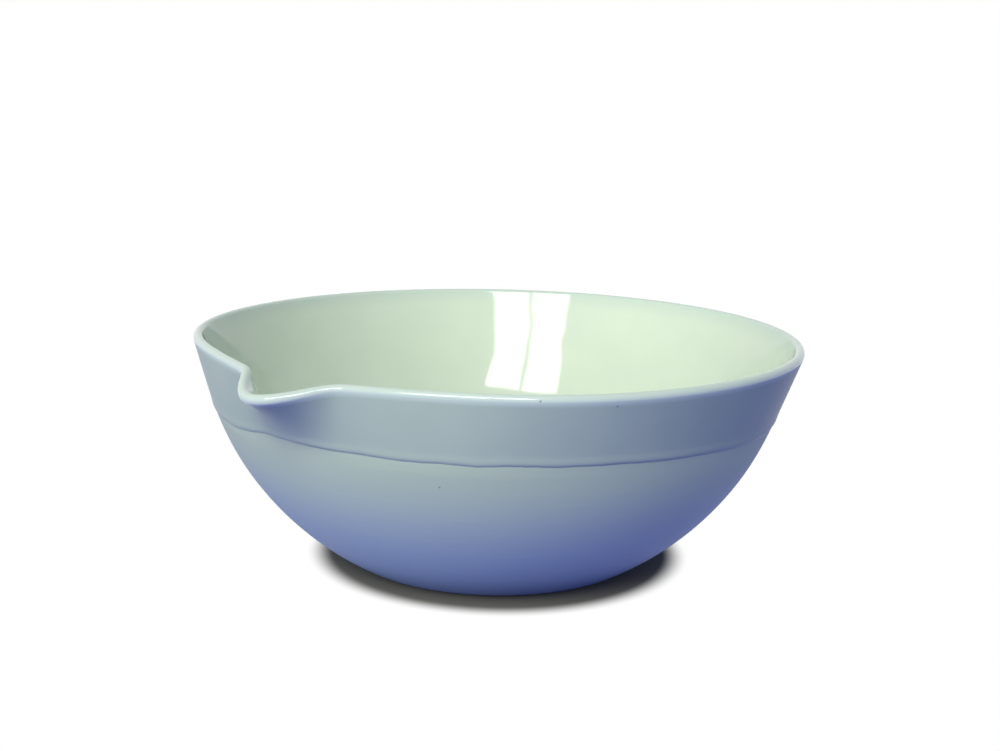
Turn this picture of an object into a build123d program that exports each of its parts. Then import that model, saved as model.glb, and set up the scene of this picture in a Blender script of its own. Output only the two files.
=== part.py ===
from build123d import *
import os
from math import atan, atan2, cos, degrees, exp, pi, radians, sin, sqrt

# A porcelain evaporating dish: a thin flat-bottomed bowl with a rounded rim, drawn out at one
# side into a pouring spout. It is one piece of fired clay, with no joint or seam.
# The origin is the middle of the base, +Z is up and the spout points along -Y.
# Lengths are in millimetres and angles in degrees.

# Outside of the bowl
rim_diameter = 120.0
height = 45.0
base_diameter = 54.0
foot_radius = 5.6  # arc that lifts the bowl off its flat base
foot_slope = 30.0  # slope of the outside where that arc ends
straight_wall = 13.5  # length of the straight wall under the rim, measured up its slope

# Thickness of the clay
rim_thickness = 1.95  # the rim is a full round of this diameter
bowl_thickness = 2.6  # where the inside turns from the wall to the floor
floor_thickness = 3.0
turn_share = 0.4  # that turn lies this far up the bowl arc, as a share of its slope change

# Pouring spout, pressed out of the soft wall with a finger
spout_reach = 7.0  # how far the lip stands out of the round rim
spout_drop = 2.7  # how far the lip hangs below the rim
spout_width = 23.7  # between the shoulders, measured along the rim
spout_height = 13.8  # how far down the wall the channel runs
lip_round = 0.42  # roundness of the lip in plan, 0 for a sharp V
shoulder_round = 0.15  # roundness where the channel leaves the rim
channel_power = 2.0  # how late the channel swings out: 1 is a straight flare

# The fingers that hold the wall beside the spout press it in
press_depth = 2.5
press_offset = 25.1  # from the spout's middle line, measured along the rim
press_spread = 19.9  # how far along the rim each press fades out
press_power = 1.5  # how late the press comes in, going up the wall

# Number of rings in each stretch of the section, and of points in a ring
foot_rings = 5
bowl_rings = 9
wall_rings = 10
rim_rings = 8
floor_rings = 5
ring_points = 96
spout_crowding = 0.8  # how much closer those points stand at the spout than at the back


def section_outside():
    """Outer section, solved so that foot arc, bowl arc and straight wall run on tangent."""
    bead = rim_thickness / 2
    foot_end = Vector(
        base_diameter / 2 + foot_radius * sin(radians(foot_slope)),
        foot_radius * (1 - cos(radians(foot_slope))),
    )
    wall_slope = radians(foot_slope)
    for _ in range(60):
        wall_end = Vector(
            rim_diameter / 2 - bead + bead * sin(wall_slope),
            height - bead - bead * cos(wall_slope),
        )
        wall_start = wall_end - Vector(cos(wall_slope), sin(wall_slope)) * straight_wall
        chord = wall_start - foot_end
        wall_slope = 2 * atan2(chord.Y, chord.X) - radians(foot_slope)
    half_turn = (wall_slope - radians(foot_slope)) / 2
    bowl_radius = chord.length / 2 / sin(half_turn)
    return foot_end, wall_end, wall_slope, bowl_radius


foot_end, wall_end, wall_slope, bowl_radius = section_outside()
rim_radius = rim_diameter / 2


def bowl_point(slope):
    """Point of the bowl arc where the outside has this slope, in radians."""
    start = radians(foot_slope)
    across = bowl_radius * (sin(slope) - sin(start))
    up = bowl_radius * (cos(start) - cos(slope))
    return foot_end + Vector(across, up)


def outside_stations():
    """Radius, level, slope and distance below the rim, from the base up to the rim round."""
    stations = []
    start = radians(foot_slope)
    bowl_length = bowl_radius * (wall_slope - start)
    for k in range(foot_rings):
        slope = start * k / foot_rings
        radius = base_diameter / 2 + foot_radius * sin(slope)
        level = foot_radius * (1 - cos(slope))
        below = straight_wall + bowl_length + foot_radius * (start - slope)
        stations.append((radius, level, slope, below))
    for k in range(bowl_rings):
        slope = start + (wall_slope - start) * k / bowl_rings
        point = bowl_point(slope)
        stations.append((point.X, point.Y, slope, straight_wall + bowl_radius * (wall_slope - slope)))
    for k in range(wall_rings + 1):
        below = straight_wall * (1 - k / wall_rings)
        radius = wall_end.X - below * cos(wall_slope)
        level = wall_end.Y - below * sin(wall_slope)
        stations.append((radius, level, wall_slope, below))
    return stations


def spout_swell(along_rim):
    """1 on the spout's middle line, 0 past its shoulders: a V with both its turns rounded."""
    rise = 1 - sqrt((2 * along_rim / spout_width) ** 2 + lip_round**2)
    top = 1 - lip_round
    ramp = rise + sqrt(rise**2 + shoulder_round**2)
    full = top + sqrt(top**2 + shoulder_round**2)
    return ramp / full


def pressed(azimuth, radius, level):
    """Where a point of the round bowl lies once the spout is pressed; azimuth 0 is the spout."""
    along_rim = rim_radius * radians(azimuth)
    up_channel = max(0.0, 1 - (wall_end.Y - level) / spout_height)
    swing = up_channel**channel_power
    swell = spout_swell(along_rim)
    left_press = exp(-(((along_rim + press_offset) / press_spread) ** 2))
    right_press = exp(-(((along_rim - press_offset) / press_spread) ** 2))
    radius += spout_reach * swell * swing
    radius -= press_depth * (left_press + right_press) * up_channel**press_power
    level -= spout_drop * swell * swing
    angle = radians(azimuth)
    return Vector(radius * sin(angle), -radius * cos(angle), level)


def wall_frame(azimuth, station):
    """Point on the outside, with the directions up the wall and square into the clay."""
    radius, level, slope, _ = station
    step = 0.02
    ahead = pressed(azimuth + step, radius, level)
    behind = pressed(azimuth - step, radius, level)
    above = pressed(azimuth, radius + step * cos(slope), level + step * sin(slope))
    below = pressed(azimuth, radius - step * cos(slope), level - step * sin(slope))
    up = (above - below).normalized()
    inward = up.cross(ahead - behind).normalized()
    return pressed(azimuth, radius, level), up, inward


def azimuths():
    """Azimuths once round the dish, starting at the back, closer together at the spout."""
    turns = [2 * k / ring_points - 1 for k in range(ring_points)]
    return [180 * (turn - spout_crowding * sin(pi * turn) / pi) for turn in turns]


def closed_ring(place):
    """Closed smooth ring through the points that place(azimuth) gives."""
    points = [place(azimuth) for azimuth in azimuths()]
    steps = [k / ring_points for k in range(ring_points + 1)]
    return Wire([Edge.make_spline(points, periodic=True, parameters=steps)])


def outside_ring(station):
    """Ring of the outer skin."""
    return closed_ring(lambda azimuth: pressed(azimuth, station[0], station[1]))


def rim_ring(station, turn):
    """Ring of the rounded rim, turn radians over from its outer edge."""
    bead = rim_thickness / 2

    def place(azimuth):
        point, up, inward = wall_frame(azimuth, station)
        return point + inward * (bead - bead * cos(turn)) + up * (bead * sin(turn))

    return closed_ring(place)


def inside_ring(station, thickness):
    """Ring of the inner skin, square through the clay from a station of the outside."""

    def place(azimuth):
        point, _, inward = wall_frame(azimuth, station)
        return point + inward * thickness

    return closed_ring(place)


def round_ring(radius, level):
    """Plain round ring."""
    return closed_ring(lambda azimuth: Vector(
        radius * sin(radians(azimuth)), -radius * cos(radians(azimuth)), level))


def make_dish():
    """The whole dish: one skin lofted up the outside, over the rim and down to the floor."""
    stations = outside_stations()
    rings = [outside_ring(station) for station in stations]
    rings += [rim_ring(stations[-1], pi * k / rim_rings) for k in range(1, rim_rings + 1)]

    turn_slope = radians(foot_slope) + turn_share * (wall_slope - radians(foot_slope))
    turn_below = straight_wall + bowl_radius * (wall_slope - turn_slope)
    taper = (bowl_thickness - rim_thickness) / turn_below
    for station in reversed(stations[:-1]):
        if station[2] > turn_slope:
            rings.append(inside_ring(station, rim_thickness + taper * station[3]))

    turn_out = bowl_point(turn_slope)
    turn_in = turn_out + Vector(-sin(turn_slope), cos(turn_slope)) * bowl_thickness
    inner_slope = turn_slope + atan(taper)
    floor_radius = (turn_in.Y - floor_thickness) / (1 - cos(inner_slope))
    flat_radius = turn_in.X - floor_radius * sin(inner_slope)
    for k in range(floor_rings, -1, -1):
        slope = inner_slope * k / floor_rings
        radius = flat_radius + floor_radius * sin(slope)
        rings.append(round_ring(radius, floor_thickness + floor_radius * (1 - cos(slope))))
    return Solid.make_loft(rings)


dish = make_dish()
dish.label = "dish"

os.makedirs("parts", exist_ok=True)
export_step(dish, "parts/dish.step")
print("wall slope", round(degrees(wall_slope), 2), "bowl radius", round(bowl_radius, 2))
print("valid", dish.is_valid, "volume", round(dish.volume, 1))
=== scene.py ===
import bpy
from math import atan, atan2, cos, pi, radians, sin
from mathutils import Matrix, Vector


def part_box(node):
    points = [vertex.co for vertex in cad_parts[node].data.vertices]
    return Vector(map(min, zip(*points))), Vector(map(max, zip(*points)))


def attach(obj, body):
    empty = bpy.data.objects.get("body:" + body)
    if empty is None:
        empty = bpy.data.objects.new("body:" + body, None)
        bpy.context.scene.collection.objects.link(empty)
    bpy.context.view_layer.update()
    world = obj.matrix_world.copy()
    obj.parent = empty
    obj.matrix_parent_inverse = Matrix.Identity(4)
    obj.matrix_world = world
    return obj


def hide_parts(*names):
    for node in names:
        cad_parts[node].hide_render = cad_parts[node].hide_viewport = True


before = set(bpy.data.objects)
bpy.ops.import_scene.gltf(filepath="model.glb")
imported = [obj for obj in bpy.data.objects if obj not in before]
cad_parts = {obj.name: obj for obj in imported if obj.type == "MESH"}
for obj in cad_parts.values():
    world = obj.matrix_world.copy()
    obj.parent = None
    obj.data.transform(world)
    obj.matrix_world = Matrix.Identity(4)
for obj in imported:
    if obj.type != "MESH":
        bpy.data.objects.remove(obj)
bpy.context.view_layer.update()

# The dish: one piece of hard porcelain, jiggered as a round bowl with a rounded rim, while still
# soft pressed out with a finger into a pouring spout, and glazed inside, over the rim and a band
# below it. The rest of the outside is left bare, so that it doesn't stick in the kiln.

mm = 0.001
lowest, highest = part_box("dish")
rim_radius = highest.x
height = highest.z
base_radius = 27.0 * mm
foot_radius = 5.6 * mm
foot_slope = radians(30)
straight_wall = 13.5 * mm
rim_thickness = 1.95 * mm
bowl_thickness = 2.6 * mm
floor_thickness = 3.0 * mm
turn_share = 0.4
bead = rim_thickness / 2

# The outer section is solved so that its foot arc, bowl arc and straight wall run on tangent.
foot_end = Vector((base_radius + foot_radius * sin(foot_slope), foot_radius * (1 - cos(foot_slope))))
wall_slope = foot_slope
settling_steps = 60
for _ in range(settling_steps):
    wall_end = Vector((rim_radius - bead + bead * sin(wall_slope), height - bead - bead * cos(wall_slope)))
    wall_start = wall_end - Vector((cos(wall_slope), sin(wall_slope))) * straight_wall
    chord = wall_start - foot_end
    wall_slope = 2 * atan2(chord.y, chord.x) - foot_slope
bowl_radius = chord.length / 2 / sin((wall_slope - foot_slope) / 2)
bowl_end = straight_wall + bowl_radius * (wall_slope - foot_slope)
foot_start = bowl_end + foot_radius * foot_slope


def outside_at(below):
    """Radius, level and slope of the round outside, this far below the rim along the section."""
    if below <= straight_wall:
        return wall_end.x - below * cos(wall_slope), wall_end.y - below * sin(wall_slope), wall_slope
    if below <= bowl_end:
        slope = wall_slope - (below - straight_wall) / bowl_radius
        radius = foot_end.x + bowl_radius * (sin(slope) - sin(foot_slope))
        return radius, foot_end.y + bowl_radius * (cos(foot_slope) - cos(slope)), slope
    if below <= foot_start:
        slope = (foot_start - below) / foot_radius
        return base_radius + foot_radius * sin(slope), foot_radius * (1 - cos(slope)), slope
    return foot_start + base_radius - below, 0.0, 0.0


# The glaze was dipped to a line round the outside, this far below the rim. The rings of the
# mesh crowd towards that line and slide with its waves, so that its edge is crisp.
line_below = 12.6 * mm
line_rows = 24
line_crowding = 1.8
row_height = 1.15 * mm
slide_reach = 10 * mm
rim_rows = 24
rim_fade = 3 * mm
base_shares = (0.0, 0.3, 0.6, 0.8, 0.92)

stations = []


def add_station(radius, level, slope, inset=0.0, lift=0.0, inside=0.0, rim=0.0, above=0.0, slide=0.0):
    """One row of the section: a place on the round outside, and how far from it the skin lies."""
    stations.append((radius, level, slope, inset, lift, inside, rim, above, slide))


outside_rows = [foot_start + base_radius * (1 - share) for share in base_shares]
even_rows = round((foot_start - 2 * line_below) / row_height)
outside_rows += [foot_start - (foot_start - 2 * line_below) * k / even_rows for k in range(even_rows)]
outside_rows += [line_below * (1 + (1 - k / line_rows) ** line_crowding) for k in range(line_rows)]
outside_rows += [line_below * (1 - (k / line_rows) ** line_crowding) for k in range(line_rows)]
for below in outside_rows:
    above = line_below - below
    add_station(*outside_at(below), above=above, slide=max(0.0, 1 - abs(above) / slide_reach))

for k in range(rim_rows + 1):
    turn = pi * k / rim_rows
    add_station(*outside_at(0), inset=bead * (1 - cos(turn)), lift=bead * sin(turn),
                inside=(1 - cos(turn)) / 2, rim=1.0, above=line_below)

turn_slope = foot_slope + turn_share * (wall_slope - foot_slope)
turn_below = straight_wall + bowl_radius * (wall_slope - turn_slope)
taper = (bowl_thickness - rim_thickness) / turn_below
inside_rows = round(turn_below / row_height)
for k in range(1, inside_rows + 1):
    below = turn_below * k / inside_rows
    add_station(*outside_at(below), inset=rim_thickness + taper * below, inside=1.0,
                rim=max(0.0, 1 - below / rim_fade), above=line_below + below)

turn_radius, turn_level, _ = outside_at(turn_below)
inner_slope = turn_slope + atan(taper)
turn_inward = Vector((-sin(turn_slope), cos(turn_slope)))
floor_end = Vector((turn_radius, turn_level)) + turn_inward * bowl_thickness
floor_radius = (floor_end.y - floor_thickness) / (1 - cos(inner_slope))
flat_radius = floor_end.x - floor_radius * sin(inner_slope)
floor_rows = round(floor_radius * inner_slope / row_height)
for k in range(floor_rows - 1, -1, -1):
    slope = inner_slope * k / floor_rows
    level = floor_thickness + floor_radius * (1 - cos(slope))
    add_station(flat_radius + floor_radius * sin(slope), level, slope, inside=1.0, above=height)
for share in reversed(base_shares):
    add_station(flat_radius * share, floor_thickness, 0.0, inside=1.0, above=height)

section_mesh = bpy.data.meshes.new("section")
section_mesh.from_pydata([(row[0], 0, row[1]) for row in stations],
                         [(k, k + 1) for k in range(len(stations) - 1)], [])
row_names = ("radius", "level", "slope", "inset", "lift", "inside", "rim", "above", "slide")
for column, name in enumerate(row_names):
    values = section_mesh.attributes.new(name, "FLOAT", "POINT")
    values.data.foreach_set("value", [row[column] for row in stations])


def add(tree, kind, inputs=(), **settings):
    """Adds a node with its settings. Its inputs, by name or in order, are linked or set."""
    node = tree.nodes.new(kind)
    for name, value in settings.items():
        setattr(node, name, value)
    for key, value in (inputs.items() if isinstance(inputs, dict) else enumerate(inputs)):
        if isinstance(value, bpy.types.Node):
            value = value.outputs[0]
        if isinstance(value, bpy.types.NodeSocket):
            tree.links.new(value, node.inputs[key])
        elif value is not None:
            node.inputs[key].default_value = value
    return node


# The spout and the fingers' presses, as sizes that the tree takes by name. A V with both its
# turns rounded swells out of the rim and hangs, and beside it the wall is pressed in.
spout_sizes = {
    "Rim Radius": rim_radius,
    "Wall Top": wall_end.y,
    "Spout Reach": 7.0 * mm,
    "Spout Drop": 2.7 * mm,
    "Spout Width": 23.7 * mm,
    "Spout Height": 13.8 * mm,
    "Lip Round": 0.42,
    "Shoulder Round": 0.15,
    "Channel Power": 2.0,
    "Press Depth": 2.5 * mm,
    "Press Offset": 25.1 * mm,
    "Press Spread": 19.9 * mm,
    "Press Power": 1.5,
}

pressed = bpy.data.node_groups.new("pressed_clay", "GeometryNodeTree")
for name in ("Azimuth", "Radius", "Level", *spout_sizes):
    pressed.interface.new_socket(name, in_out="INPUT", socket_type="NodeSocketFloat")
pressed.interface.new_socket("Place", in_out="OUTPUT", socket_type="NodeSocketVector")
size = add(pressed, "NodeGroupInput").outputs
along = add(pressed, "ShaderNodeMath", [size["Rim Radius"], size["Azimuth"]], operation="MULTIPLY")
drop = add(pressed, "ShaderNodeMath", [size["Wall Top"], size["Level"]], operation="SUBTRACT")
share = add(pressed, "ShaderNodeMath", [drop, size["Spout Height"]], operation="DIVIDE")
up_channel = add(pressed, "ShaderNodeMath", [1.0, share], operation="SUBTRACT")
up_channel = add(pressed, "ShaderNodeMath", [up_channel, 0.0], operation="MAXIMUM")
swing = add(pressed, "ShaderNodeMath", [up_channel, size["Channel Power"]], operation="POWER")

half_width = add(pressed, "ShaderNodeMath", [size["Spout Width"], 0.5], operation="MULTIPLY")
reach = add(pressed, "ShaderNodeMath", [along, half_width], operation="DIVIDE")
reach_squared = add(pressed, "ShaderNodeMath", [reach, reach], operation="MULTIPLY")
lip_squared = add(pressed, "ShaderNodeMath", [size["Lip Round"], size["Lip Round"], reach_squared],
                  operation="MULTIPLY_ADD")
lip_curve = add(pressed, "ShaderNodeMath", [lip_squared], operation="SQRT")
shoulder_squared = add(pressed, "ShaderNodeMath", [size["Shoulder Round"], size["Shoulder Round"]],
                       operation="MULTIPLY")
ramps = []
for curve in (lip_curve, size["Lip Round"]):
    rise = add(pressed, "ShaderNodeMath", [1.0, curve], operation="SUBTRACT")
    rise_squared = add(pressed, "ShaderNodeMath", [rise, rise, shoulder_squared], operation="MULTIPLY_ADD")
    rounded = add(pressed, "ShaderNodeMath", [rise_squared], operation="SQRT")
    ramps.append(add(pressed, "ShaderNodeMath", [rise, rounded], operation="ADD"))
swell = add(pressed, "ShaderNodeMath", ramps, operation="DIVIDE")
swung = add(pressed, "ShaderNodeMath", [swell, swing], operation="MULTIPLY")

presses = []
for side in ("ADD", "SUBTRACT"):
    offset = add(pressed, "ShaderNodeMath", [along, size["Press Offset"]], operation=side)
    spread = add(pressed, "ShaderNodeMath", [offset, size["Press Spread"]], operation="DIVIDE")
    squared = add(pressed, "ShaderNodeMath", [spread, spread], operation="MULTIPLY")
    fading = add(pressed, "ShaderNodeMath", [squared, -1.0], operation="MULTIPLY")
    presses.append(add(pressed, "ShaderNodeMath", [fading], operation="EXPONENT"))
both = add(pressed, "ShaderNodeMath", presses, operation="ADD")
press_rise = add(pressed, "ShaderNodeMath", [up_channel, size["Press Power"]], operation="POWER")
press = add(pressed, "ShaderNodeMath", [both, press_rise], operation="MULTIPLY")

pushed = add(pressed, "ShaderNodeMath", [swung, size["Spout Reach"], size["Radius"]],
             operation="MULTIPLY_ADD")
held = add(pressed, "ShaderNodeMath", [press, size["Press Depth"]], operation="MULTIPLY")
radius = add(pressed, "ShaderNodeMath", [pushed, held], operation="SUBTRACT")
hang = add(pressed, "ShaderNodeMath", [swung, size["Spout Drop"]], operation="MULTIPLY")
level = add(pressed, "ShaderNodeMath", [size["Level"], hang], operation="SUBTRACT")
sine = add(pressed, "ShaderNodeMath", [size["Azimuth"]], operation="SINE")
cosine = add(pressed, "ShaderNodeMath", [size["Azimuth"]], operation="COSINE")
x = add(pressed, "ShaderNodeMath", [radius, sine], operation="MULTIPLY")
y = add(pressed, "ShaderNodeMath", [radius, cosine], operation="MULTIPLY")
back = add(pressed, "ShaderNodeMath", [y, -1.0], operation="MULTIPLY")
place = add(pressed, "ShaderNodeCombineXYZ", [x, back, level])
add(pressed, "NodeGroupOutput", [place])

# The tree turns the section round the axis, presses the spout into it, keeps the clay square to
# the pressed wall, and then lays on the relief of the glaze and of the turned bare clay.
relief_sizes = {
    "Spout Crowding": 0.5,
    "Glaze Thickness": 0.13 * mm,
    "Edge Width": 0.45 * mm,
    "Roll Height": 0.10 * mm,
    "Roll Place": 0.9 * mm,
    "Roll Width": 0.75 * mm,
    "Bare Fade": 14 * mm,
    "Wave Depth": 0.11 * mm,
    "Wave Length": 7 * mm,
}
around = 512
turned = bpy.data.node_groups.new("turned_dish", "GeometryNodeTree")
turned.interface.new_socket("Section", in_out="INPUT", socket_type="NodeSocketGeometry")
for name in ("Rows", "Around", "Seed"):
    turned.interface.new_socket(name, in_out="INPUT", socket_type="NodeSocketInt")
for name in (*spout_sizes, *relief_sizes):
    turned.interface.new_socket(name, in_out="INPUT", socket_type="NodeSocketFloat")
for name in ("Bare Clay", "Band Glaze", "Glaze"):
    turned.interface.new_socket(name, in_out="INPUT", socket_type="NodeSocketMaterial")
turned.interface.new_socket("Dish", in_out="OUTPUT", socket_type="NodeSocketGeometry")
size = add(turned, "NodeGroupInput").outputs

columns = add(turned, "ShaderNodeMath", [size["Around"], 1], operation="ADD")
grid = add(turned, "GeometryNodeMeshGrid", {"Vertices X": columns, "Vertices Y": size["Rows"]})
index = add(turned, "GeometryNodeInputIndex")
column = add(turned, "ShaderNodeMath", [index, size["Rows"]], operation="DIVIDE")
column = add(turned, "ShaderNodeMath", [column], operation="FLOOR")
row = add(turned, "ShaderNodeMath", [index, size["Rows"]], operation="MODULO")
station = {}
for name in row_names:
    value = add(turned, "GeometryNodeInputNamedAttribute", [name], data_type="FLOAT")
    station[name] = add(turned, "GeometryNodeSampleIndex", [size["Section"], value, row], data_type="FLOAT")

turn = add(turned, "ShaderNodeMath", [column, size["Around"]], operation="DIVIDE")
turn = add(turned, "ShaderNodeMath", [turn, 2.0, -1.0], operation="MULTIPLY_ADD")
half_turn = add(turned, "ShaderNodeMath", [turn, pi], operation="MULTIPLY")
crowd = add(turned, "ShaderNodeMath", [half_turn], operation="SINE")
crowd = add(turned, "ShaderNodeMath", [crowd, size["Spout Crowding"]], operation="MULTIPLY")
azimuth = add(turned, "ShaderNodeMath", [half_turn, crowd], operation="SUBTRACT")

# The line of the glaze as it ran, in degrees from the spout and millimetres above its mean.
line_points = [(-180, -0.3), (-125, 0.35), (-75, 0.2), (-38, -0.35), (-20, -0.3), (-2, 1.1), (12, 0.85),
               (30, 0.4), (60, 0.1), (80, -0.5), (104, -1.3), (140, -0.7), (180, -0.3)]
line_range = 2.0
line_curve = add(turned, "ShaderNodeFloatCurve")
line_share = add(turned, "ShaderNodeMapRange", [azimuth, -pi, pi, 0.0, 1.0])
turned.links.new(line_share.outputs[0], line_curve.inputs["Value"])
curve = line_curve.mapping.curves[0]
for degrees_round, rise in line_points[1:-1]:
    curve.points.new(degrees_round / 360 + 0.5, rise / (2 * line_range) + 0.5)
for end, (degrees_round, rise) in ((0, line_points[0]), (-1, line_points[-1])):
    curve.points[end].location = (degrees_round / 360 + 0.5, rise / (2 * line_range) + 0.5)
line_curve.mapping.update()
wave = add(turned, "ShaderNodeMapRange", [line_curve, 0.0, 1.0, -line_range * mm, line_range * mm])

# Small waves on that line, a few millimetres long.
ripple_height = 0.35 * mm
ripples_round = 5.0
around_place = add(turned, "ShaderNodeCombineXYZ", [
    add(turned, "ShaderNodeMath", [azimuth], operation="COSINE"),
    add(turned, "ShaderNodeMath", [azimuth], operation="SINE"), size["Seed"]])
ripple = add(turned, "ShaderNodeTexNoise", {"Vector": around_place, "Scale": ripples_round, "Detail": 3.0})
ripple = add(turned, "ShaderNodeMapRange", [ripple, 0.25, 0.75, -ripple_height, ripple_height])
wave = add(turned, "ShaderNodeMath", [wave, ripple], operation="ADD")
slid = add(turned, "ShaderNodeMath", [wave, station["slide"]], operation="MULTIPLY")
slope_cosine = add(turned, "ShaderNodeMath", [station["slope"]], operation="COSINE")
slope_sine = add(turned, "ShaderNodeMath", [station["slope"]], operation="SINE")
radius = add(turned, "ShaderNodeMath", [slid, slope_cosine, station["radius"]], operation="MULTIPLY_ADD")
level = add(turned, "ShaderNodeMath", [slid, slope_sine, station["level"]], operation="MULTIPLY_ADD")

# Places a little ahead, behind, higher and lower give the directions of the pressed wall. The skin
# lies square to it, at the distance that the section gives.
near_angle = 0.002
near_length = 0.1 * mm
places = {}
for name, turn_step, up_step in (("here", 0, 0), ("ahead", near_angle, 0), ("behind", -near_angle, 0),
                                 ("higher", 0, near_length), ("lower", 0, -near_length)):
    near_azimuth = add(turned, "ShaderNodeMath", [azimuth, turn_step], operation="ADD")
    near_radius = add(turned, "ShaderNodeMath", [slope_cosine, up_step, radius], operation="MULTIPLY_ADD")
    near_level = add(turned, "ShaderNodeMath", [slope_sine, up_step, level], operation="MULTIPLY_ADD")
    values = {"Azimuth": near_azimuth, "Radius": near_radius, "Level": near_level}
    values.update({size_name: size[size_name] for size_name in spout_sizes})
    places[name] = add(turned, "GeometryNodeGroup", values, node_tree=pressed)
round_way = add(turned, "ShaderNodeVectorMath", [places["ahead"], places["behind"]], operation="SUBTRACT")
up_way = add(turned, "ShaderNodeVectorMath", [places["higher"], places["lower"]], operation="SUBTRACT")
up_way = add(turned, "ShaderNodeVectorMath", [up_way], operation="NORMALIZE")
inward = add(turned, "ShaderNodeVectorMath", [up_way, round_way], operation="CROSS_PRODUCT")
inward = add(turned, "ShaderNodeVectorMath", [inward], operation="NORMALIZE")
skin = add(turned, "ShaderNodeVectorMath", [inward, station["inset"], places["here"]],
           operation="MULTIPLY_ADD")
skin = add(turned, "ShaderNodeVectorMath", [up_way, station["lift"], skin], operation="MULTIPLY_ADD")

dish = add(turned, "GeometryNodeSetPosition", {"Geometry": grid, "Position": skin})
for name in ("inside", "rim", "above"):
    dish = add(turned, "GeometryNodeStoreNamedAttribute",
               {"Geometry": dish, "Name": name, "Value": station[name]}, data_type="FLOAT")
dish = add(turned, "GeometryNodeMergeByDistance", {"Geometry": dish, "Distance": 0.001 * mm})

# Relief: the bare clay lies a glaze's thickness lower just under the line, the glaze gathers in
# a low roll above it, and pulls in slow waves, which are deeper inside where the coat is thick.
thin_coat = 0.35
rim_start = 0.01
above = add(turned, "GeometryNodeInputNamedAttribute", ["above"], data_type="FLOAT")
inside = add(turned, "GeometryNodeInputNamedAttribute", ["inside"], data_type="FLOAT")
edge = add(turned, "ShaderNodeMapRange", [above, 0.0, size["Edge Width"], 0.0, 1.0],
           interpolation_type="SMOOTHSTEP")
bare_fade = add(turned, "ShaderNodeMath", [size["Bare Fade"], -1.0], operation="MULTIPLY")
fade = add(turned, "ShaderNodeMapRange", [above, bare_fade, 0.0, 0.0, 1.0], interpolation_type="SMOOTHSTEP")
bare = add(turned, "ShaderNodeMath", [1.0, edge], operation="SUBTRACT")
sunk = add(turned, "ShaderNodeMath", [bare, fade], operation="MULTIPLY")
sunk = add(turned, "ShaderNodeMath", [sunk, size["Glaze Thickness"]], operation="MULTIPLY")
roll = add(turned, "ShaderNodeMath", [above, size["Roll Place"]], operation="SUBTRACT")
roll = add(turned, "ShaderNodeMath", [roll, size["Roll Width"]], operation="DIVIDE")
roll = add(turned, "ShaderNodeMath", [roll, 2.0], operation="POWER")
roll = add(turned, "ShaderNodeMath", [roll, -1.0], operation="MULTIPLY")
roll = add(turned, "ShaderNodeMath", [roll], operation="EXPONENT")
roll = add(turned, "ShaderNodeMath", [roll, edge], operation="MULTIPLY")
roll = add(turned, "ShaderNodeMath", [roll, size["Roll Height"]], operation="MULTIPLY")
position = add(turned, "GeometryNodeInputPosition")
per_wave = add(turned, "ShaderNodeMath", [1.0, size["Wave Length"]], operation="DIVIDE")
waves = add(turned, "ShaderNodeTexNoise",
            {"Vector": position, "W": size["Seed"], "Scale": per_wave, "Detail": 2.0}, noise_dimensions="4D")
waves = add(turned, "ShaderNodeMath", [waves, 1.0], operation="SUBTRACT")
waves = add(turned, "ShaderNodeMath", [waves, size["Wave Depth"]], operation="MULTIPLY")
waves = add(turned, "ShaderNodeMath", [waves, edge], operation="MULTIPLY")
coat = add(turned, "ShaderNodeMath", [inside, 1 - thin_coat, thin_coat], operation="MULTIPLY_ADD")
waves = add(turned, "ShaderNodeMath", [waves, coat], operation="MULTIPLY")
relief = add(turned, "ShaderNodeMath", [waves, sunk], operation="SUBTRACT")
relief = add(turned, "ShaderNodeMath", [relief, roll], operation="ADD")
normal = add(turned, "GeometryNodeInputNormal")
offset = add(turned, "ShaderNodeVectorMath", {0: normal, "Scale": relief}, operation="SCALE")
dish = add(turned, "GeometryNodeSetPosition", {"Geometry": dish, "Offset": offset})
dish = add(turned, "GeometryNodeSetShadeSmooth", {"Geometry": dish})
dish = add(turned, "GeometryNodeRealizeInstances", [dish])
dish = add(turned, "GeometryNodeSetMaterial", {"Geometry": dish, "Material": size["Bare Clay"]})
glazed = add(turned, "ShaderNodeMath", [above, 0.0], operation="GREATER_THAN")
dish = add(turned, "GeometryNodeSetMaterial",
           {"Geometry": dish, "Selection": glazed, "Material": size["Band Glaze"]})
over_rim = add(turned, "ShaderNodeMath", [inside, rim_start], operation="GREATER_THAN")
dish = add(turned, "GeometryNodeSetMaterial",
           {"Geometry": dish, "Selection": over_rim, "Material": size["Glaze"]})
add(turned, "NodeGroupOutput", [dish])


def colour(code):
    """Linear colour of an sRGB hex code such as "A1B2C3"."""
    parts = [int(code[k:k + 2], 16) / 255 for k in (0, 2, 4)]
    return [part / 12.92 if part <= 0.04045 else ((part + 0.055) / 1.055) ** 2.4 for part in parts] + [1.0]


# The tones of the three finishes, with painted shade in the outer band, the rim and the foot, and the places
# of small dark grains fired into them.
bowl_tones = ("CAD6BD", "CEDAC0")
shaded_band_tones = ("A7B6A1", "ACBBA5")
rim_shade_tone = "C1D0BC"
foot_shade_tone = "97AFCB"
wall_tone = "B5C4A5"
cloud_width = 14 * mm
speck_tone = "77736F"
speck_reach = 0.24 * mm
glaze_specks = [(41.11 * mm, -42.53 * mm, 44.03 * mm), (49.50 * mm, -33.07 * mm, 42.93 * mm)]
clay_specks = [(25.07 * mm, -47.79 * mm, 27.99 * mm)]


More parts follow.
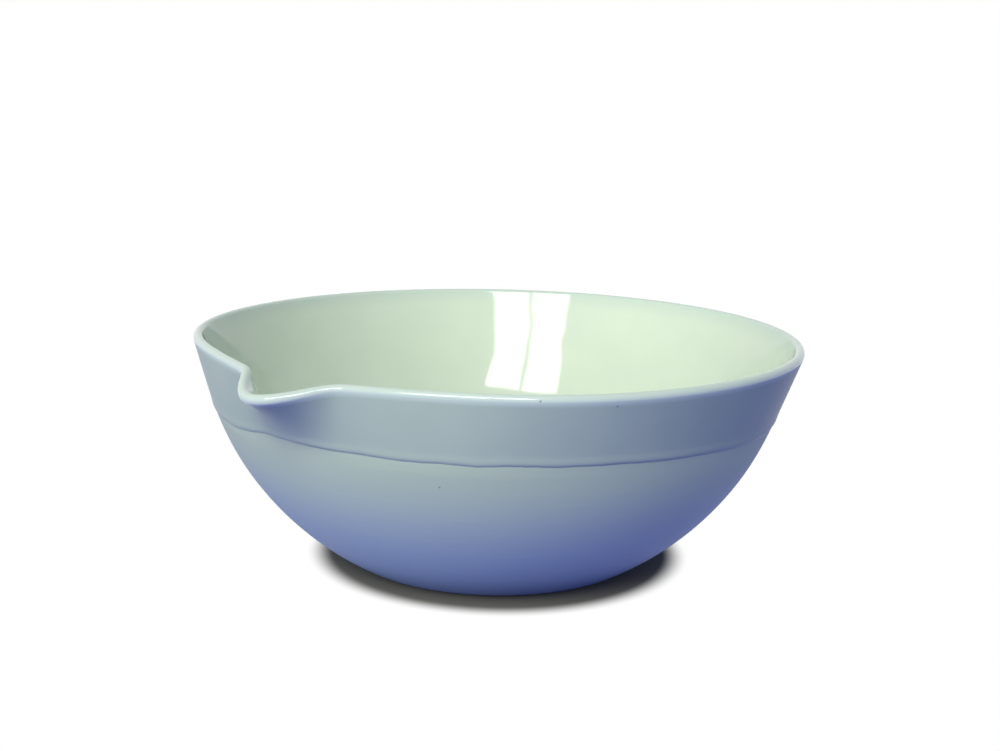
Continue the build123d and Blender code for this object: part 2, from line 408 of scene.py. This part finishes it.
def speckled(tree, place, tone, specks):
    """The tone with a small dark grain, burnt into the surface, at each of these places."""
    for speck in specks:
        away = add(tree, "ShaderNodeVectorMath", [place, speck], operation="DISTANCE").outputs["Value"]
        grain = add(tree, "ShaderNodeMapRange", [away, 0.4 * speck_reach, speck_reach, 0.8, 0.0])
        mix = add(tree, "ShaderNodeMix", {0: grain, 6: tone, 7: colour(speck_tone)}, data_type="RGBA")
        tone = mix.outputs[2]
    return tone


def clouded(tree, place, tones):
    """A tone that drifts between two close ones, in clouds about as wide as cloud_width."""
    cloud = add(tree, "ShaderNodeTexNoise", {"Vector": place, "Scale": 1 / cloud_width, "Detail": 2.0})
    cloud = add(tree, "ShaderNodeMapRange", [cloud, 0.3, 0.7, 0.0, 1.0])
    mix = add(tree, "ShaderNodeMix", {0: cloud, 6: colour(tones[0]), 7: colour(tones[1])}, data_type="RGBA")
    return mix.outputs[2]


# Transparent feldspar glaze on porcelain, fused in the kiln to a thick even coat: wet-looking,
# with a pale green tone in the bowl, and a little greyer over the rim and just inside it, in painted shade.
glaze = bpy.data.materials.new("fused_feldspar_glaze")
glaze.use_nodes = True
tree = glaze.node_tree
tree.nodes.clear()
place = add(tree, "ShaderNodeTexCoord").outputs["Object"]
rim = add(tree, "ShaderNodeAttribute", attribute_name="rim").outputs["Fac"]
tone = clouded(tree, place, bowl_tones)
# Greyer over the rim and just inside it: painted shade of the rounded lip.
tone = add(tree, "ShaderNodeMix", {0: rim, 6: tone, 7: colour(rim_shade_tone)}, data_type="RGBA").outputs[2]
tone = speckled(tree, place, tone, glaze_specks)
shader = add(tree, "ShaderNodeBsdfPrincipled", {"Base Color": tone, "Roughness": 0.07, "IOR": 1.5})
add(tree, "ShaderNodeOutputMaterial", [shader])

# The same glaze where the dip left only a thin coat on the outer band: nearly no sheen, and a
# darker grey-green tone than in the bowl, which is painted shade of the outside.
band_glaze = bpy.data.materials.new("thin_dipped_glaze")
band_glaze.use_nodes = True
tree = band_glaze.node_tree
tree.nodes.clear()
place = add(tree, "ShaderNodeTexCoord").outputs["Object"]
rim = add(tree, "ShaderNodeAttribute", attribute_name="rim").outputs["Fac"]
# Darker than the glaze in the bowl: painted shade of the outside.
tone = clouded(tree, place, shaded_band_tones)
# Over the rim the band takes the rim's tone, which is painted shade of the rounded lip.
tone = add(tree, "ShaderNodeMix", {0: rim, 6: tone, 7: colour(rim_shade_tone)}, data_type="RGBA").outputs[2]
tone = speckled(tree, place, tone, glaze_specks)
shader = add(tree, "ShaderNodeBsdfPrincipled",
             {"Base Color": tone, "Roughness": 0.34, "IOR": 1.5, "Specular IOR Level": 0.02})
add(tree, "ShaderNodeOutputMaterial", [shader])

# Bare hard porcelain, fired without glaze: matt and close-grained, with the faint level marks of
# the template that turned it, grey-green at the wall, and bluer towards the foot in painted shade.
wall_tone_level = 32 * mm
mark_length = 25 * mm
mark_spacing = 10 / 9 * mm
grain_width = 0.4 * mm
grain_share = 0.25
mark_depth = 0.03 * mm
bare_clay = bpy.data.materials.new("bare_fired_porcelain")
bare_clay.use_nodes = True
tree = bare_clay.node_tree
tree.nodes.clear()
place = add(tree, "ShaderNodeTexCoord").outputs["Object"]
level = add(tree, "ShaderNodeSeparateXYZ", [place]).outputs["Z"]
# Bluer towards the foot, mixed in by height: painted shade of the underside.
up_wall = add(tree, "ShaderNodeMapRange", [level, 0.0, wall_tone_level, 0.0, 1.0],
              interpolation_type="SMOOTHSTEP")
tone = add(tree, "ShaderNodeMix", {0: up_wall, 6: colour(foot_shade_tone), 7: colour(wall_tone)}, data_type="RGBA")
tone = speckled(tree, place, tone.outputs[2], clay_specks)
mark_scale = (1 / mark_length, 1 / mark_length, 1 / mark_spacing)
mark_place = add(tree, "ShaderNodeMapping", {"Vector": place, "Scale": mark_scale})
marks = add(tree, "ShaderNodeTexNoise", {"Vector": mark_place, "Scale": 1.0, "Detail": 3.0})
grain = add(tree, "ShaderNodeTexNoise", {"Vector": place, "Scale": 1 / grain_width, "Detail": 2.0})
uneven = add(tree, "ShaderNodeMath", [grain, grain_share, marks], operation="MULTIPLY_ADD")
bump = add(tree, "ShaderNodeBump", {"Height": uneven, "Strength": 1.0, "Distance": mark_depth})
shader = add(tree, "ShaderNodeBsdfPrincipled",
             {"Base Color": tone, "Roughness": 0.62, "IOR": 1.5, "Specular IOR Level": 0.3, "Normal": bump})
add(tree, "ShaderNodeOutputMaterial", [shader])

# The section goes in, and the turned, pressed and glazed dish comes out as one plain mesh.
porcelain_dish = bpy.data.objects.new("porcelain_dish", section_mesh)
bpy.context.scene.collection.objects.link(porcelain_dish)
turning = porcelain_dish.modifiers.new("turned_dish", "NODES")
turning.node_group = turned
settings = {"Rows": len(stations), "Around": around, "Seed": 7,
            "Bare Clay": bare_clay, "Band Glaze": band_glaze, "Glaze": glaze}
settings.update(spout_sizes)
settings.update(relief_sizes)
for item in turned.interface.items_tree:
    if item.item_type == "SOCKET" and item.name in settings:
        turning[item.identifier] = settings[item.name]
depsgraph = bpy.context.evaluated_depsgraph_get()
finished = bpy.data.meshes.new_from_object(
    porcelain_dish.evaluated_get(depsgraph), preserve_all_data_layers=True, depsgraph=depsgraph)
porcelain_dish.modifiers.clear()
porcelain_dish.data = finished
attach(porcelain_dish, "root")
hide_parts("dish")

# The floor: a white sweep. Near the foot it is painted dark grey, a painted shadow of the dish, on which
# the lamps also cast its real shadow; further out it is plain white to the eye. The light that it throws
# back up is blue, and weaker under the bowl.
painted_shadow_tone = "7B786B"
floor_bounce = "5E68DD"
shadow_middle = (0.8 * mm, 0.6 * mm, 0.0)
shadow_start = 33.5 * mm
shadow_end = 39 * mm
bowl_shade = 0.15
open_floor_start = 75 * mm
floor_half = 3.0
floor_mesh = bpy.data.meshes.new("floor")
floor_mesh.from_pydata([(-floor_half, -floor_half, 0), (floor_half, -floor_half, 0),
                        (floor_half, floor_half, 0), (-floor_half, floor_half, 0)], [], [(0, 1, 2, 3)])
floor = bpy.data.objects.new("floor", floor_mesh)
bpy.context.scene.collection.objects.link(floor)
sweep = bpy.data.materials.new("white_sweep")
sweep.use_nodes = True
tree = sweep.node_tree
tree.nodes.clear()
place = add(tree, "ShaderNodeTexCoord").outputs["Object"]
reach = add(tree, "ShaderNodeVectorMath", [place], operation="LENGTH").outputs["Value"]
away = add(tree, "ShaderNodeVectorMath", [place, shadow_middle], operation="DISTANCE").outputs["Value"]
# A dark ring round the foot, fading out to white: a painted shadow of the dish.
painted_shadow_ring = add(tree, "ShaderNodeMapRange", [away, shadow_start, shadow_end, 1.0, 0.0],
           interpolation_type="SMOOTHSTEP")
painted_shadow_floor = add(tree, "ShaderNodeBsdfDiffuse", [colour(painted_shadow_tone)])
white = add(tree, "ShaderNodeEmission", [(1.0, 1.0, 1.0, 1.0), 1.0])
seen = add(tree, "ShaderNodeMixShader", [painted_shadow_ring, white, painted_shadow_floor])
open_floor = add(tree, "ShaderNodeMapRange", [reach, base_radius, open_floor_start, bowl_shade, 1.0],
                 interpolation_type="SMOOTHSTEP")
bounced = add(tree, "ShaderNodeEmission", [colour(floor_bounce), open_floor])
rays = add(tree, "ShaderNodeLightPath").outputs
looking = add(tree, "ShaderNodeMath", [rays["Is Camera Ray"], rays["Is Glossy Ray"]], operation="MAXIMUM")
looking = add(tree, "ShaderNodeMath", [looking, rays["Is Transmission Ray"]], operation="MAXIMUM")
surface = add(tree, "ShaderNodeMixShader", [looking, bounced, seen])
add(tree, "ShaderNodeOutputMaterial", [surface])
floor.data.materials.append(sweep)

# The light: a soft studio window in two sashes, high behind the viewer's left shoulder, a large
# pale screen low at the left that leaves no image in the glaze, and a cool fill from all round.
spout_side = radians(37)
lamp_distance = 2.0
window_azimuth = radians(-16)
window_elevation = radians(42)
window_radiance = 10.4
sash_width = 0.50
sash_height = 0.80
sash_gap = 0.05
screen_azimuth = radians(-45)
screen_elevation = radians(16)
screen_radiance = 4.1
screen_width = 1.6
screen_height = 0.9
sky_tone = "8C97AD"


def add_lamp(name, azimuth, elevation, shift, width, height, radiance):
    """A rectangle of soft light facing the dish, at an azimuth from the viewer's own."""
    lamp = bpy.data.lights.new(name, "AREA")
    lamp.shape = "RECTANGLE"
    lamp.size = width
    lamp.size_y = height
    lamp.energy = radiance * pi * width * height
    holder = bpy.data.objects.new(name, lamp)
    holder.matrix_world = (Matrix.Rotation(spout_side + azimuth, 4, "Z")
                           @ Matrix.Rotation(pi / 2 - elevation, 4, "X")
                           @ Matrix.Translation((shift, 0, lamp_distance)))
    bpy.context.scene.collection.objects.link(holder)
    return holder


for side in (-0.5, 0.5):
    add_lamp("window_sash", window_azimuth, window_elevation, side * (sash_width + sash_gap),
             sash_width, sash_height, window_radiance)
screen = add_lamp("pale_screen", screen_azimuth, screen_elevation, 0.0,
                  screen_width, screen_height, screen_radiance)
screen.visible_glossy = False

world = bpy.data.worlds.new("studio")
world.use_nodes = True
tree = world.node_tree
tree.nodes.clear()
rays = add(tree, "ShaderNodeLightPath").outputs
looking = add(tree, "ShaderNodeMath", [rays["Is Camera Ray"], rays["Is Glossy Ray"]], operation="MAXIMUM")
looking = add(tree, "ShaderNodeMath", [looking, rays["Is Transmission Ray"]], operation="MAXIMUM")
fill = add(tree, "ShaderNodeBackground", [colour(sky_tone), 1.0])
white = add(tree, "ShaderNodeBackground", [(1.0, 1.0, 1.0, 1.0), 1.0])
sky = add(tree, "ShaderNodeMixShader", [looking, fill, white])
add(tree, "ShaderNodeOutputWorld", [sky])
bpy.context.scene.world = world

# The camera: at the photograph's angle, a little above the rim, with the spout to its left.
camera_tilt = radians(11.66)
camera_roll = radians(1.26)
camera_distance = 277.9 * mm
camera_aim = (0.768 * mm, 0, 35.96 * mm)
camera_lens = 49.95
camera_data = bpy.data.cameras.new("camera")
camera_data.lens = camera_lens
camera_data.sensor_width = 36
camera_data.clip_start = 0.01
camera = bpy.data.objects.new("camera", camera_data)
camera.matrix_world = (Matrix.Rotation(spout_side, 4, "Z") @ Matrix.Translation(camera_aim)
                       @ Matrix.Rotation(pi / 2 - camera_tilt, 4, "X")
                       @ Matrix.Translation((0, 0, camera_distance)) @ Matrix.Rotation(camera_roll, 4, "Z"))
bpy.context.scene.collection.objects.link(camera)
bpy.context.scene.camera = camera
bpy.context.scene.view_settings.view_transform = "Standard"
